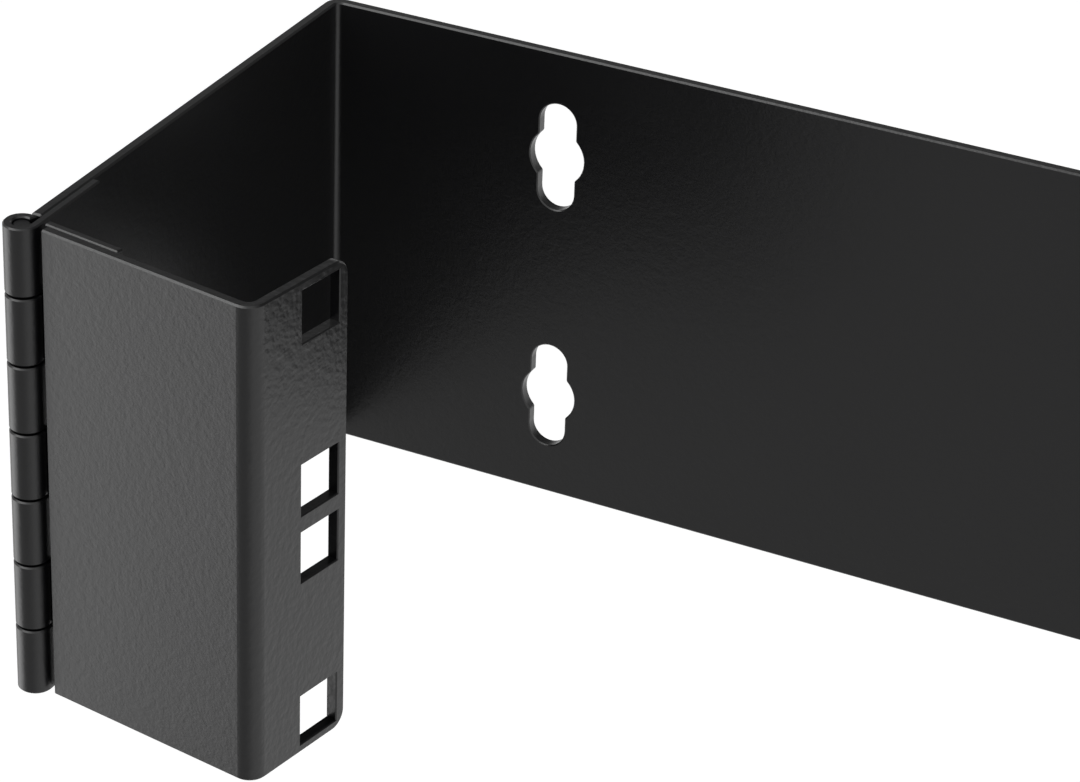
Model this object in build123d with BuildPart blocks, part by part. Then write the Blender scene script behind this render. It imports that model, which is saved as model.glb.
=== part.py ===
from build123d import *
from math import acos, degrees
import os

# Open frame wall rack for two units of 19-inch equipment.
# One folded steel frame screws to the wall, and a hinged rail on its left side swings the equipment out.
# The origin is the centre of the wall face: +X to the right, +Y into the wall, +Z up.
# Sizes are in millimetres.

# Rack standard
rack_unit = 44.45
units_high = 2
hole_row_offset = 6.35
rack_hole_spacing = 465.1
rack_hole_size = 9.5

# Folded sheet
sheet_thickness = 2.0
bend_inner_radius = 1.2
cut_edge_ease = 0.3
hole_edge_ease = 0.2
hole_from_side = 17.45
flange_lip = 2.2
flange_corner_radius = 3.2

# Keyholes in the wall plate, a round middle with a slot above and below it
keyhole_stud_spacing = 406.4
keyhole_row_spacing = 48.4
keyhole_slot_width = 7.2
keyhole_slot_length = 20.8
keyhole_circle_diameter = 10.6
keyhole_waist_radius = 0.6

# Piano hinge, rolled from thin sheet round a plain pin
pin_diameter = 3.175
pin_clearance = 0.05
pin_recess = 0.4
pin_end_chamfer = 0.3
leaf_thickness = 1.5
leaf_width = 19.05
knuckle_count = 7
knuckle_gap = 0.4
knuckle_side_clearance = 0.25
knuckle_mouth = 0.5
hinge_edge_ease = 0.25
weld_count = 4
weld_diameter = 5.0
weld_dent = 0.15

# Places of the hinge and the rail
hinge_from_wall = 104.1
rail_reach = 48.3
rail_edge_gap = 1.2
rail_rest_angle = 80.5

# Sizes that follow from the ones above
frame_height = units_high * rack_unit
frame_width = rack_hole_spacing + 2 * hole_from_side
frame_depth = hinge_from_wall + rail_reach
flange_width = hole_from_side + rack_hole_size / 2 + flange_lip
bend_outer_radius = bend_inner_radius + sheet_thickness
knuckle_inner_radius = pin_diameter / 2 + pin_clearance
knuckle_outer_radius = knuckle_inner_radius + leaf_thickness
knuckle_clear_radius = knuckle_outer_radius + knuckle_side_clearance
knuckle_pitch = frame_height / knuckle_count

# The roll goes round the pin until its end stands one mouth short of its own leaf
knuckle_curl = 360 - degrees(acos((knuckle_inner_radius - knuckle_mouth) / knuckle_outer_radius))

# Each leaf lies on the inside of its sheet, level with the barrel, so this is how far in the pin stands
pin_inset = sheet_thickness + leaf_thickness - knuckle_outer_radius

# Work planes with the pin at their origin, x across the frame and y along the side wall.
# The rail's plane is turned by the angle at which the rail stands.
pin_place = Vector(-frame_width / 2 + pin_inset, -hinge_from_wall, 0)
wall_side_plane = Plane(origin=pin_place, x_dir=(1, 0, 0), z_dir=(0, 0, 1))
rail_plane = wall_side_plane.rotated((0, 0, rail_rest_angle))


def rack_hole_heights():
    """Heights of the four square holes: the innermost and outermost rows of a two-unit panel."""
    outer_row = frame_height / 2 - hole_row_offset
    return (-outer_row, -hole_row_offset, hole_row_offset, outer_row)


def folded_sheet(work_plane, fold_points, inner_side):
    """Sheet folded along an outline of its outer faces, which ends in a rack flange along the plane's x."""
    side_corner, flange_end = fold_points[-2:]
    flange_direction = 1 if flange_end[0] > side_corner[0] else -1
    hole_x = side_corner[0] + flange_direction * hole_from_side
    flange_face = Plane(
        origin=work_plane.from_local_coords((0, side_corner[1], 0)),
        x_dir=work_plane.x_dir,
        z_dir=-work_plane.y_dir,
    )
    with BuildPart() as sheet:
        with BuildSketch(work_plane.offset(-frame_height / 2)):
            with BuildLine():
                FilletPolyline(*fold_points, radius=bend_outer_radius)
                offset(amount=sheet_thickness, side=inner_side)
            make_face()
        extrude(amount=frame_height)

        # The flange's two free corners are the only short edges across its thickness
        across_flange = Axis(work_plane.origin, work_plane.y_dir)
        flange_corners = sheet.edges().filter_by(across_flange).sort_by(SortBy.LENGTH)[:2]
        fillet(flange_corners, radius=flange_corner_radius)

        # Cut edges are eased all round, and the seams where a curve meets a flat are left alone
        curves = sheet.faces().filter_by(GeomType.CYLINDER)
        seams = curves.edges().filter_by(GeomType.LINE)
        chamfer(sheet.edges() - seams, length=cut_edge_ease)

        with BuildSketch(flange_face) as rack_holes:
            with Locations(*[(hole_x, height) for height in rack_hole_heights()]):
                Rectangle(rack_hole_size, rack_hole_size)
        add(punch(flange_face, rack_holes.sketch_local), mode=Mode.SUBTRACT)
    return sheet.part


def punch(outer_face, holes):
    """Tool that cuts holes through the sheet and eases their edges on the face where the punch went in."""
    with BuildPart() as tool:
        with BuildSketch(outer_face.offset(-sheet_thickness)):
            add(holes)
        extrude(amount=sheet_thickness)
        with BuildSketch(outer_face.offset(-hole_edge_ease)):
            add(holes)
        extrude(amount=hole_edge_ease, taper=-45)
    return tool.part


def keyhole():
    """Outline of one keyhole, with the corners where its slot meets its round middle rounded."""
    with BuildSketch() as outline:
        SlotOverall(keyhole_slot_length, keyhole_slot_width, rotation=90)
        Circle(keyhole_circle_diameter / 2)
        half_slot = keyhole_slot_width / 2
        slot_corners = outline.vertices().filter_by_position(Axis.X, -half_slot, half_slot)
        waist = slot_corners.sort_by_distance((0, 0, 0))[:4]
        fillet(waist, radius=keyhole_waist_radius)
    return outline.sketch


def knuckle_span(number):
    """Lowest and highest point of a knuckle, counted from the bottom. The outermost end with the leaf."""
    low = -frame_height / 2 + number * knuckle_pitch
    high = low + knuckle_pitch
    if number > 0:
        low += knuckle_gap / 2
    if number < knuckle_count - 1:
        high -= knuckle_gap / 2
    return low, high


def rolled_knuckle(pin_plane, side, number):
    """One knuckle rolled round the pin, with a root that reaches into its leaf."""
    low, high = knuckle_span(number)
    root_end = side * (knuckle_clear_radius + leaf_thickness)
    with BuildPart() as knuckle:
        with BuildSketch(pin_plane.offset(low)):
            with BuildLine():
                outer_roll = CenterArc((0, 0), knuckle_outer_radius, 0, -side * knuckle_curl)
                inner_roll = CenterArc((0, 0), knuckle_inner_radius, 0, -side * knuckle_curl)
                Line(outer_roll @ 1, inner_roll @ 1)
                Polyline(
                    inner_roll @ 0,
                    (knuckle_inner_radius, root_end),
                    (knuckle_outer_radius, root_end),
                    outer_roll @ 0,
                )
            make_face()
        extrude(amount=high - low)
        ends = knuckle.faces().filter_by(Axis.Z)
        chamfer(ends.edges(), length=hinge_edge_ease)
    return knuckle.part


def rolled_leaf(pin_plane, side, knuckle_numbers):
    """Hinge leaf on the side +1 or -1 of the pin along the plane's y, with its own knuckles."""
    leaf_length = leaf_width - knuckle_clear_radius
    leaf_middle = side * (knuckle_clear_radius + leaf_length / 2)
    free_face = Plane(
        origin=pin_plane.from_local_coords((knuckle_outer_radius, leaf_middle, 0)),
        x_dir=pin_plane.y_dir,
        z_dir=pin_plane.x_dir,
    )
    with BuildPart() as leaf:
        with BuildSketch(pin_plane.offset(-frame_height / 2)):
            with Locations((knuckle_outer_radius - leaf_thickness / 2, leaf_middle)):
                Rectangle(leaf_thickness, leaf_length)
        extrude(amount=frame_height)
        chamfer(leaf.edges(), length=hinge_edge_ease)

        # Spot welds down the leaf have left a row of shallow dents on its free face
        with BuildSketch(free_face):
            with GridLocations(0, frame_height / weld_count, 1, weld_count):
                Circle(weld_diameter / 2)
        extrude(amount=-weld_dent, taper=45, mode=Mode.SUBTRACT)

        for number in knuckle_numbers:
            add(rolled_knuckle(pin_plane, side, number))
    return leaf.part


# Wall frame: the plate on the wall, the short left side wall that carries the hinge,
# and the full-depth right side wall with its rack flange, folded from one sheet
left, right = -frame_width / 2, frame_width / 2
left_wall_front = -hinge_from_wall + knuckle_clear_radius
wall_frame_folds = [
    (left, left_wall_front),
    (left, 0),
    (right, 0),
    (right, -frame_depth),
    (right - flange_width, -frame_depth),
]
plate_face = Plane.XZ.offset(sheet_thickness)
with BuildPart() as wall_frame:
    add(folded_sheet(Plane.XY, wall_frame_folds, Side.RIGHT))
    with BuildSketch(plate_face) as keyholes:
        with GridLocations(keyhole_stud_spacing, keyhole_row_spacing, 2, 2):
            add(keyhole())
    add(punch(plate_face, keyholes.sketch_local), mode=Mode.SUBTRACT)
wall_frame.part.label = "wall_frame"

# Hinged rail: a folded angle whose flange takes the equipment's left ear
rail_folds = [
    (-pin_inset, -knuckle_outer_radius - rail_edge_gap),
    (-pin_inset, -rail_reach),
    (-pin_inset + flange_width, -rail_reach),
]
with BuildPart() as hinged_rail:
    add(folded_sheet(rail_plane, rail_folds, Side.LEFT))
hinged_rail.part.label = "hinged_rail"

# Hinge leaves: the fixed one has the knuckles at both ends, and the moving one those between
with BuildPart() as fixed_hinge_leaf:
    add(rolled_leaf(wall_side_plane, 1, range(0, knuckle_count, 2)))
fixed_hinge_leaf.part.label = "fixed_hinge_leaf"

with BuildPart() as moving_hinge_leaf:
    add(rolled_leaf(rail_plane, -1, range(1, knuckle_count, 2)))
moving_hinge_leaf.part.label = "moving_hinge_leaf"

# Hinge pin: one plain rod through all the knuckles, a little short of both ends
pin_length = frame_height - 2 * pin_recess
with BuildPart() as hinge_pin:
    with BuildSketch(wall_side_plane.offset(-pin_length / 2)):
        Circle(pin_diameter / 2)
    extrude(amount=pin_length)
    chamfer(hinge_pin.edges().filter_by(GeomType.CIRCLE), length=pin_end_chamfer)
hinge_pin.part.label = "hinge_pin"

os.makedirs("parts", exist_ok=True)
export_step(wall_frame.part, "parts/wall_frame.step")
export_step(hinged_rail.part, "parts/hinged_rail.step")
export_step(fixed_hinge_leaf.part, "parts/fixed_hinge_leaf.step")
export_step(moving_hinge_leaf.part, "parts/moving_hinge_leaf.step")
export_step(hinge_pin.part, "parts/hinge_pin.step")
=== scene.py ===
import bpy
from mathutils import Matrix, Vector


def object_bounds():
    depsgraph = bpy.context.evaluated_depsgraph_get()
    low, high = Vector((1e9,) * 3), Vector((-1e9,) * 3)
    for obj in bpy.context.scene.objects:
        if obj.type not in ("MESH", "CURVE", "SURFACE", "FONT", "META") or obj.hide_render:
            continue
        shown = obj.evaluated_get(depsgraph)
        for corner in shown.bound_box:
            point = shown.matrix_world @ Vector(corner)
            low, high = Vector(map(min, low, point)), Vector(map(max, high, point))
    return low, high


bl_info = {
    "name": "Open Frame Wall Rack",
    "version": (1, 0, 0),
    "blender": (4, 5, 0),
    "location": "View3D > Sidebar > Wall Rack",
    "description": "Finishes a folded steel wall rack in black powder coat and sets it in a white studio",
    "category": "Object",
}

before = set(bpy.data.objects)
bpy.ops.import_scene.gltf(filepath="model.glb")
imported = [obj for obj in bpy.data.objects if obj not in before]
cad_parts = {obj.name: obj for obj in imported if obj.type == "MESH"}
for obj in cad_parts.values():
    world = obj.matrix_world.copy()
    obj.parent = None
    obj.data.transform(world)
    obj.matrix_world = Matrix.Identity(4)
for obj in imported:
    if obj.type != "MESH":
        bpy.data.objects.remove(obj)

import math

import bmesh
import bpy
from mathutils import Quaternion, Vector

MM = 0.001
cad_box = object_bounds()

# Where each rack flange begins, along the side that it lies towards, and the width of the strip in
# which the peel deepens there
FRAME_FLANGE_START = 149 * MM
RAIL_FLANGE_START = -205 * MM
FLANGE_PEEL_STRIP = 3 * MM

# The floor is a disc with this many corners
FLOOR_CORNERS = 96

# Behind the rack the room is white up to the first height and dark above the second. Its front ends
# at the first depth and its back begins at the second. All four are parts of a direction of length 1.
SWEEP_WHITE_HEIGHT = 0.05
SWEEP_DARK_HEIGHT = 0.35
ROOM_FRONT_DEPTH = -0.3
ROOM_BACK_DEPTH = 0.3

# Name, azimuth and elevation in degrees, distance, and width and height of each softbox.
# Its honeycomb grid lets light out within the spread.
SOFTBOXES = (
    ("key", -72, -20, 1200 * MM, (900 * MM, 600 * MM)),
    ("top", -57, 44, 1300 * MM, (600 * MM, 600 * MM)),
    ("front", -20, 40, 1300 * MM, (600 * MM, 600 * MM)),
    ("fill", 60, 45, 1300 * MM, (600 * MM, 600 * MM)),
)
SOFTBOX_SPREAD = math.radians(90)

CAMERA_NEAR_LIMIT = 10 * MM


def srgb(hex_colour):
    """Linear red, green and blue of an sRGB hex value such as "#0d0d0e"."""
    shares = [int(hex_colour[at : at + 2], 16) / 255 for at in (1, 3, 5)]
    return [s / 12.92 if s <= 0.04045 else ((s + 0.055) / 1.055) ** 2.4 for s in shares]


def direction(azimuth, elevation):
    """Vector of length 1 from the rack towards an azimuth and an elevation.

    The azimuth is 0 in front of the rack and grows to the right.
    """
    return Vector(
        (
            math.sin(azimuth) * math.cos(elevation),
            -math.cos(azimuth) * math.cos(elevation),
            math.sin(elevation),
        )
    )


def add_node(tree, kind, inputs=None, **settings):
    """Adds a node with its settings, and returns its outputs by identifier.

    Each input is named by its identifier, with a value or an output to link.
    """
    node = tree.nodes.new(kind)
    for name, value in settings.items():
        setattr(node, name, value)
    sockets = {socket.identifier: socket for socket in node.inputs}
    for name, value in (inputs or {}).items():
        if isinstance(value, bpy.types.NodeSocket):
            tree.links.new(value, sockets[name])
        else:
            sockets[name].default_value = value
    return {socket.identifier: socket for socket in node.outputs}


class PowderCoatFinish(bpy.types.PropertyGroup):
    """The black powder coat on the folded sheets and on the hinge."""

    colour: bpy.props.FloatVectorProperty(
        name="Coat colour",
        description="Jet black of the baked polyester powder",
        subtype="COLOR",
        min=0.0,
        max=1.0,
        default=srgb("#060607"),
    )
    fleck_colour: bpy.props.FloatVectorProperty(
        name="Fleck colour",
        description="Slightly greyer black where the powder grains melted together less",
        subtype="COLOR",
        min=0.0,
        max=1.0,
        default=srgb("#0a0a0b"),
    )
    roughness: bpy.props.FloatProperty(
        name="Roughness",
        description="Roughness of the satin skin, before its orange peel",
        min=0.0,
        max=1.0,
        default=0.3,
    )
    hinge_roughness: bpy.props.FloatProperty(
        name="Hinge roughness",
        description="Roughness of the skin on the hinge, which flows smoother round the rolled knuckles",
        min=0.0,
        max=1.0,
        default=0.32,
    )
    refraction: bpy.props.FloatProperty(
        name="Index of refraction",
        description="Typical value of a polyester powder coat",
        min=1.0,
        max=3.0,
        default=1.5,
    )
    peel_spacing: bpy.props.FloatProperty(
        name="Peel spacing",
        description="Distance between the bumps of the orange peel",
        unit="LENGTH",
        min=0.1 * MM,
        default=1.3 * MM,
    )
    peel_depth: bpy.props.FloatProperty(
        name="Peel depth",
        description="Height of the bumps of the orange peel",
        unit="LENGTH",
        min=0.0,
        default=0.03 * MM,
    )
    flange_peel: bpy.props.FloatProperty(
        name="Flange peel",
        description="How many times deeper the peel is on the rack flanges, under their thicker powder",
        min=1.0,
        default=2.6,
    )
    grain_spacing: bpy.props.FloatProperty(
        name="Grain spacing",
        description="Distance between the finest bumps, left by single powder grains",
        unit="LENGTH",
        min=0.05 * MM,
        default=0.45 * MM,
    )
    grain_depth: bpy.props.FloatProperty(
        name="Grain depth",
        description="Height of the finest bumps",
        unit="LENGTH",
        min=0.0,
        default=0.012 * MM,
    )
    flow_spacing: bpy.props.FloatProperty(
        name="Flow spacing",
        description="Length of the broad waves in which the coat settled",
        unit="LENGTH",
        min=1.0 * MM,
        default=22.0 * MM,
    )
    flow_gloss: bpy.props.FloatProperty(
        name="Flow gloss",
        description="How much the roughness differs between those waves",
        min=0.0,
        max=0.2,
        default=0.04,
    )


class StudioStage(bpy.types.PropertyGroup):
    """The floor, the room, the lamps and the camera of the studio."""

    floor_colour: bpy.props.FloatVectorProperty(
        name="Floor colour",
        description="Pale paint of the studio floor",
        subtype="COLOR",
        min=0.0,
        max=1.0,
        default=srgb("#c8c8c8"),
    )
    floor_drop: bpy.props.FloatProperty(
        name="Floor drop",
        description="How far the floor lies under the rack's lower edge",
        unit="LENGTH",
        default=900.0 * MM,
    )
    floor_radius: bpy.props.FloatProperty(
        name="Floor radius",
        description="Radius of the round floor",
        unit="LENGTH",
        default=30000.0 * MM,
    )
    floor_glow: bpy.props.FloatProperty(
        name="Floor glow",
        description="Added to the floor where the camera or a reflection sees it, so that it is white",
        min=0.0,
        max=2.0,
        default=0.64,
    )
    front_floor_glow: bpy.props.FloatProperty(
        name="Front floor glow",
        description="The same on the opposite side, which the front of the rack mirrors",
        min=0.0,
        max=2.0,
        default=0.12,
    )
    glow_azimuth: bpy.props.FloatProperty(
        name="Glow azimuth",
        description="Side towards which the floor glows, 0 in front of the rack and growing to the right",
        unit="ROTATION",
        default=math.radians(140),
    )
    glow_start: bpy.props.FloatProperty(
        name="Glow start",
        description="Where the floor begins to glow, measured towards that side from under the rack",
        unit="LENGTH",
        default=-1200.0 * MM,
    )
    glow_full: bpy.props.FloatProperty(
        name="Glow full",
        description="Where the floor reaches its full glow",
        unit="LENGTH",
        default=-100.0 * MM,
    )
    front_room_glow: bpy.props.FloatProperty(
        name="Front room glow",
        description="Brightness of the room in front of the rack, where 1 is white",
        min=0.0,
        max=2.0,
        default=1.1,
    )
    back_room_glow: bpy.props.FloatProperty(
        name="Back room glow",
        description="Brightness of the room behind the rack, which its top edges mirror",
        min=0.0,
        max=2.0,
        default=0.18,
    )
    key_power: bpy.props.FloatProperty(
        name="Key softbox power",
        description="Power of the low, wide softbox on the left",
        unit="POWER",
        default=0.98,
    )
    top_power: bpy.props.FloatProperty(
        name="Top softbox power",
        description="Power of the high softbox on the left",
        unit="POWER",
        default=1.0,
    )
    front_power: bpy.props.FloatProperty(
        name="Front softbox power",
        description="Power of the high softbox in front",
        unit="POWER",
        default=0.6,
    )
    fill_power: bpy.props.FloatProperty(
        name="Fill softbox power",
        description="Power of the high softbox at the front right",
        unit="POWER",
        default=0.3,
    )
    camera_place: bpy.props.FloatVectorProperty(
        name="Camera place",
        description="Place of the camera, from the centre of the wall face",
        subtype="TRANSLATION",
        unit="LENGTH",
        default=(84.34 * MM, -607.2 * MM, 348.11 * MM),
    )
    camera_azimuth: bpy.props.FloatProperty(
        name="Camera azimuth",
        description="Angle of the view round the rack, 0 from straight ahead and growing to the right",
        unit="ROTATION",
        default=math.radians(27.733),
    )
    camera_elevation: bpy.props.FloatProperty(
        name="Camera elevation",
        description="Angle of the view above the horizon",
        unit="ROTATION",
        default=math.radians(29.055),
    )
    camera_roll: bpy.props.FloatProperty(
        name="Camera roll",
        description="Slight tilt of the camera about its own line of sight",
        unit="ROTATION",
        default=math.radians(1.02),
    )
    lens: bpy.props.FloatProperty(
        name="Lens",
        description="Focal length of the camera",
        unit="CAMERA",
        default=139.09,
    )
    lens_shift: bpy.props.FloatProperty(
        name="Lens shift",
        description="Sideways shift of the picture, as a share of its width",
        default=0.1296,
    )


def powder_coated_steel(name, finish, roughness, flange_side=None, flange_start=0.0):
    """Cold-rolled steel sheet, sprayed with black polyester powder and baked.

    The melted powder levels into a satin skin. Its fine orange peel breaks up what the dark surface
    reflects, so a side looks even from afar and slightly mottled close by. The powder went on thicker
    on the rack flange, which faced the spray gun, so the peel is deeper past flange_start, measured
    along flange_side.
    """
    material = bpy.data.materials.new(name)
    material.use_nodes = True
    tree = material.node_tree
    tree.nodes.clear()
    place = add_node(tree, "ShaderNodeTexCoord")["Object"]

    def bumps(spacing, detail):
        """Noise from 0 to 1 whose bumps are about one spacing apart."""
        noise = {"Vector": place, "Scale": 1 / spacing, "Detail": detail}
        return add_node(tree, "ShaderNodeTexNoise", noise)["Fac"]

    peel = bumps(finish.peel_spacing, detail=1.0)
    grain = bumps(finish.grain_spacing, detail=0.0)
    flow = bumps(finish.flow_spacing, detail=1.0)

    colour = add_node(
        tree,
        "ShaderNodeMix",
        {
            "Factor_Float": grain,
            "A_Color": (*finish.colour, 1.0),
            "B_Color": (*finish.fleck_colour, 1.0),
        },
        data_type="RGBA",
    )["Result_Color"]
    gloss = add_node(
        tree,
        "ShaderNodeMapRange",
        {
            "Value": flow,
            "To Min": roughness - finish.flow_gloss / 2,
            "To Max": roughness + finish.flow_gloss / 2,
        },
    )["Result"]
    grain_height = add_node(
        tree,
        "ShaderNodeMath",
        {"Value": grain, "Value_001": finish.grain_depth},
        operation="MULTIPLY",
    )["Value"]
    peel_depth = finish.peel_depth
    if flange_side:
        along = add_node(
            tree,
            "ShaderNodeVectorMath",
            {"Vector": place, "Vector_001": flange_side},
            operation="DOT_PRODUCT",
        )["Value"]
        peel_depth = add_node(
            tree,
            "ShaderNodeMapRange",
            {
                "Value": along,
                "From Min": flange_start,
                "From Max": flange_start + FLANGE_PEEL_STRIP,
                "To Min": finish.peel_depth,
                "To Max": finish.peel_depth * finish.flange_peel,
            },
        )["Result"]
    height = add_node(
        tree,
        "ShaderNodeMath",
        {"Value": peel, "Value_001": peel_depth, "Value_002": grain_height},
        operation="MULTIPLY_ADD",
    )["Value"]
    normal = add_node(tree, "ShaderNodeBump", {"Height": height, "Distance": 1.0})["Normal"]
    skin = add_node(
        tree,
        "ShaderNodeBsdfPrincipled",
        {"Base Color": colour, "Roughness": gloss, "IOR": finish.refraction, "Normal": normal},
    )["BSDF"]
    add_node(tree, "ShaderNodeOutputMaterial", {"Surface": skin})
    return material


def finish_nodes(names, material):
    """Puts a material on the named CAD nodes."""
    for name in names:
        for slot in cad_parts[name].material_slots:
            slot.material = material


class WALLRACK_OT_coat_wall_frame(bpy.types.Operator):
    """Powder coats the folded frame that screws to the wall."""

    bl_idname = "wallrack.coat_wall_frame"
    bl_label = "Coat wall frame"

    def execute(self, context):
        finish = context.scene.wallrack_coat
        skin = powder_coated_steel(
            "powder_coated_steel_frame",
            finish,
            finish.roughness,
            flange_side=(0, -1, 0),
            flange_start=FRAME_FLANGE_START,
        )
        finish_nodes(["wall_frame"], skin)
        return {"FINISHED"}


class WALLRACK_OT_coat_hinged_rail(bpy.types.Operator):
    """Powder coats the folded rail that swings on the hinge."""

    bl_idname = "wallrack.coat_hinged_rail"
    bl_label = "Coat hinged rail"

    def execute(self, context):
        finish = context.scene.wallrack_coat
        skin = powder_coated_steel(
            "powder_coated_steel_rail",
            finish,
            finish.roughness,
            flange_side=(1, 0, 0),
            flange_start=RAIL_FLANGE_START,
        )
        finish_nodes(["hinged_rail"], skin)
        return {"FINISHED"}


class WALLRACK_OT_coat_hinge(bpy.types.Operator):
    """Powder coats the two rolled hinge leaves and their pin."""

    bl_idname = "wallrack.coat_hinge"
    bl_label = "Coat piano hinge"

    def execute(self, context):
        finish = context.scene.wallrack_coat
        skin = powder_coated_steel("powder_coated_rolled_steel", finish, finish.hinge_roughness)
        finish_nodes(["fixed_hinge_leaf", "moving_hinge_leaf", "hinge_pin"], skin)
        return {"FINISHED"}


def white_floor(stage):
    """Round matt floor, lit by the lamps and lifted to white for the camera and for reflections."""
    material = bpy.data.materials.new("painted_studio_floor")
    material.use_nodes = True
    material.cycles.emission_sampling = "NONE"
    tree = material.node_tree
    tree.nodes.clear()
    ray = add_node(tree, "ShaderNodeLightPath")
    seen = ray["Is Camera Ray"]
    for kind in ("Is Glossy Ray", "Is Transmission Ray"):
        either = {"Value": seen, "Value_001": ray[kind]}
        seen = add_node(tree, "ShaderNodeMath", either, operation="MAXIMUM")["Value"]
    place = add_node(tree, "ShaderNodeTexCoord")["Object"]
    glow_side = direction(stage.glow_azimuth, 0.0)
    along = add_node(
        tree,
        "ShaderNodeVectorMath",
        {"Vector": place, "Vector_001": glow_side},
        operation="DOT_PRODUCT",
    )["Value"]
    backdrop = add_node(
        tree,
        "ShaderNodeMapRange",
        {
            "Value": along,
            "From Min": stage.glow_start,
            "From Max": stage.glow_full,
            "To Min": stage.front_floor_glow,
            "To Max": stage.floor_glow,
        },
    )["Result"]
    glow = add_node(
        tree,
        "ShaderNodeMath",
        {"Value": seen, "Value_001": backdrop},
        operation="MULTIPLY",
    )["Value"]
    paint = add_node(tree, "ShaderNodeBsdfDiffuse", {"Color": (*stage.floor_colour, 1.0)})["BSDF"]
    lift = add_node(tree, "ShaderNodeEmission", {"Strength": glow})["Emission"]
    surface = add_node(tree, "ShaderNodeAddShader", {"Shader": paint, "Shader_001": lift})["Shader"]
    add_node(tree, "ShaderNodeOutputMaterial", {"Surface": surface})

    mesh = bpy.data.meshes.new("studio_floor")
    disc = bmesh.new()
    bmesh.ops.create_circle(disc, cap_ends=True, segments=FLOOR_CORNERS, radius=stage.floor_radius)
    disc.to_mesh(mesh)
    disc.free()
    mesh.materials.append(material)
    floor = bpy.data.objects.new("studio_floor", mesh)
    floor.location.z = cad_box[0].z - stage.floor_drop
    bpy.context.scene.collection.objects.link(floor)


def studio_room(stage):
    """World with the glow of the studio's walls and ceiling.

    It is brighter in front of the rack than behind it, where a white sweep rises from the floor to a
    darker wall.
    """
    world = bpy.data.worlds.new("studio_room")
    world.use_nodes = True
    tree = world.node_tree
    tree.nodes.clear()
    view = add_node(tree, "ShaderNodeTexCoord")["Generated"]
    part = add_node(tree, "ShaderNodeSeparateXYZ", {"Vector": view})
    sweep = add_node(
        tree,
        "ShaderNodeMapRange",
        {
            "Value": part["Z"],
            "From Min": SWEEP_WHITE_HEIGHT,
            "From Max": SWEEP_DARK_HEIGHT,
            "To Min": 1.0,
            "To Max": stage.back_room_glow,
        },
    )["Result"]
    glow = add_node(
        tree,
        "ShaderNodeMapRange",
        {
            "Value": part["Y"],
            "From Min": ROOM_FRONT_DEPTH,
            "From Max": ROOM_BACK_DEPTH,
            "To Min": stage.front_room_glow,
            "To Max": sweep,
        },
    )["Result"]
    white = (1.0, 1.0, 1.0, 1.0)
    background = add_node(tree, "ShaderNodeBackground", {"Color": white, "Strength": glow})["Background"]
    add_node(tree, "ShaderNodeOutputWorld", {"Surface": background})
    bpy.context.scene.world = world


def softbox(name, towards, distance, size, power):
    """Area lamp behind a honeycomb grid, at a distance from the rack and aimed back at it."""
    lamp = bpy.data.lights.new(name, "AREA")
    lamp.shape = "RECTANGLE"
    lamp.size, lamp.size_y = size
    lamp.spread = SOFTBOX_SPREAD
    lamp.energy = power
    holder = bpy.data.objects.new(name, lamp)
    holder.location = towards * distance
    holder.rotation_mode = "QUATERNION"
    holder.rotation_quaternion = (-towards).to_track_quat("-Z", "Y")
    bpy.context.scene.collection.objects.link(holder)


def studio_camera(stage):
    """Camera at the photograph's viewing angle."""
    lens = bpy.data.cameras.new("studio_camera")
    lens.lens = stage.lens
    lens.shift_x = stage.lens_shift
    lens.clip_start = CAMERA_NEAR_LIMIT
    camera = bpy.data.objects.new("studio_camera", lens)
    camera.location = stage.camera_place
    camera.rotation_mode = "QUATERNION"
    back = direction(stage.camera_azimuth, stage.camera_elevation)
    level = (-back).to_track_quat("-Z", "Y")
    camera.rotation_quaternion = level @ Quaternion((0, 0, 1), stage.camera_roll)
    bpy.context.scene.collection.objects.link(camera)
    bpy.context.scene.camera = camera


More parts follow.
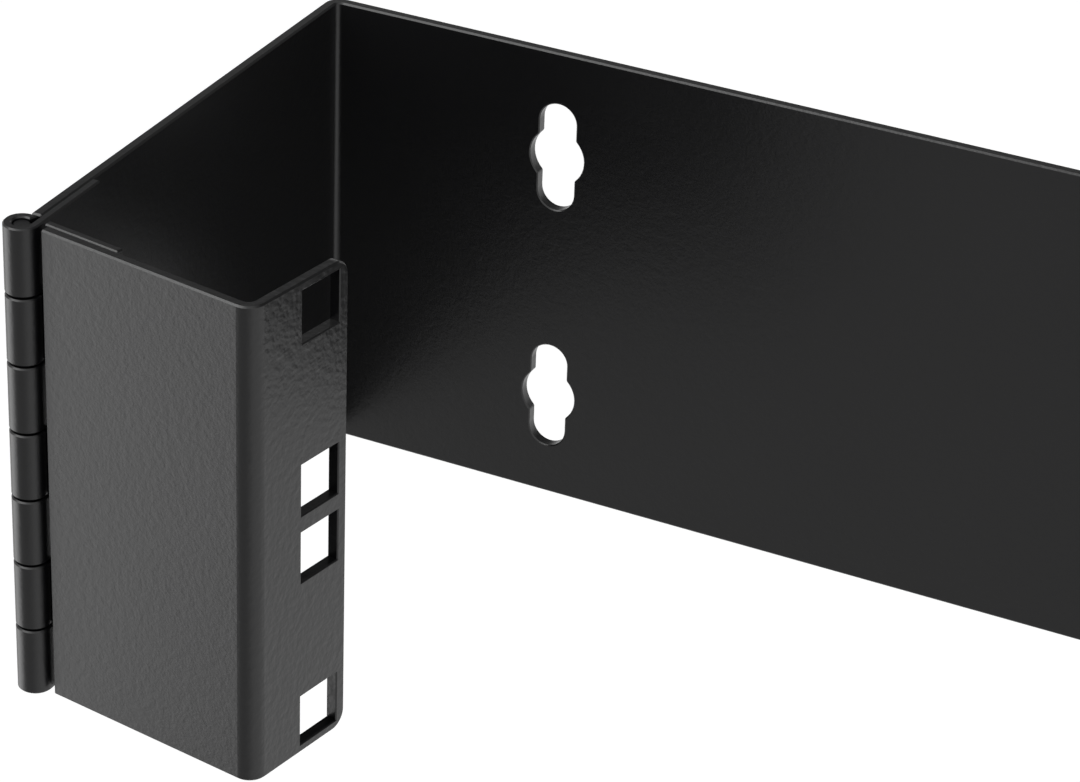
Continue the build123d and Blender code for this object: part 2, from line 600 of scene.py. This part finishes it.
class WALLRACK_OT_set_stage(bpy.types.Operator):
    """Builds the floor, the room, the lamps and the camera."""

    bl_idname = "wallrack.set_stage"
    bl_label = "Set studio stage"

    def execute(self, context):
        stage = context.scene.wallrack_stage
        context.scene.view_settings.view_transform = "Standard"
        white_floor(stage)
        studio_room(stage)
        for name, azimuth, elevation, distance, size in SOFTBOXES:
            towards = direction(math.radians(azimuth), math.radians(elevation))
            power = getattr(stage, f"{name}_power")
            softbox(f"{name}_softbox", towards, distance, size, power)
        studio_camera(stage)
        return {"FINISHED"}


class WALLRACK_PT_sidebar(bpy.types.Panel):
    """Lists the rack's pieces, its finish and the studio."""

    bl_idname = "WALLRACK_PT_sidebar"
    bl_label = "Wall Rack"
    bl_space_type = "VIEW_3D"
    bl_region_type = "UI"
    bl_category = "Wall Rack"

    def draw(self, context):
        for title, settings, operators in (
            ("Powder coat", context.scene.wallrack_coat, piece_operators),
            ("Studio", context.scene.wallrack_stage, (WALLRACK_OT_set_stage,)),
        ):
            box = self.layout.box()
            box.label(text=title)
            for name in settings.__annotations__:
                box.prop(settings, name)
            for operator in operators:
                box.operator(operator.bl_idname)


piece_operators = (WALLRACK_OT_coat_wall_frame, WALLRACK_OT_coat_hinged_rail, WALLRACK_OT_coat_hinge)
classes = (
    PowderCoatFinish,
    StudioStage,
    *piece_operators,
    WALLRACK_OT_set_stage,
    WALLRACK_PT_sidebar,
)


def register():
    for each in classes:
        bpy.utils.register_class(each)
    bpy.types.Scene.wallrack_coat = bpy.props.PointerProperty(type=PowderCoatFinish)
    bpy.types.Scene.wallrack_stage = bpy.props.PointerProperty(type=StudioStage)


def unregister():
    del bpy.types.Scene.wallrack_stage
    del bpy.types.Scene.wallrack_coat
    for each in reversed(classes):
        bpy.utils.unregister_class(each)


def main():
    register()
    bpy.ops.wallrack.coat_wall_frame()
    bpy.ops.wallrack.coat_hinged_rail()
    bpy.ops.wallrack.coat_hinge()
    bpy.ops.wallrack.set_stage()


if __name__ == "__main__":
    main()
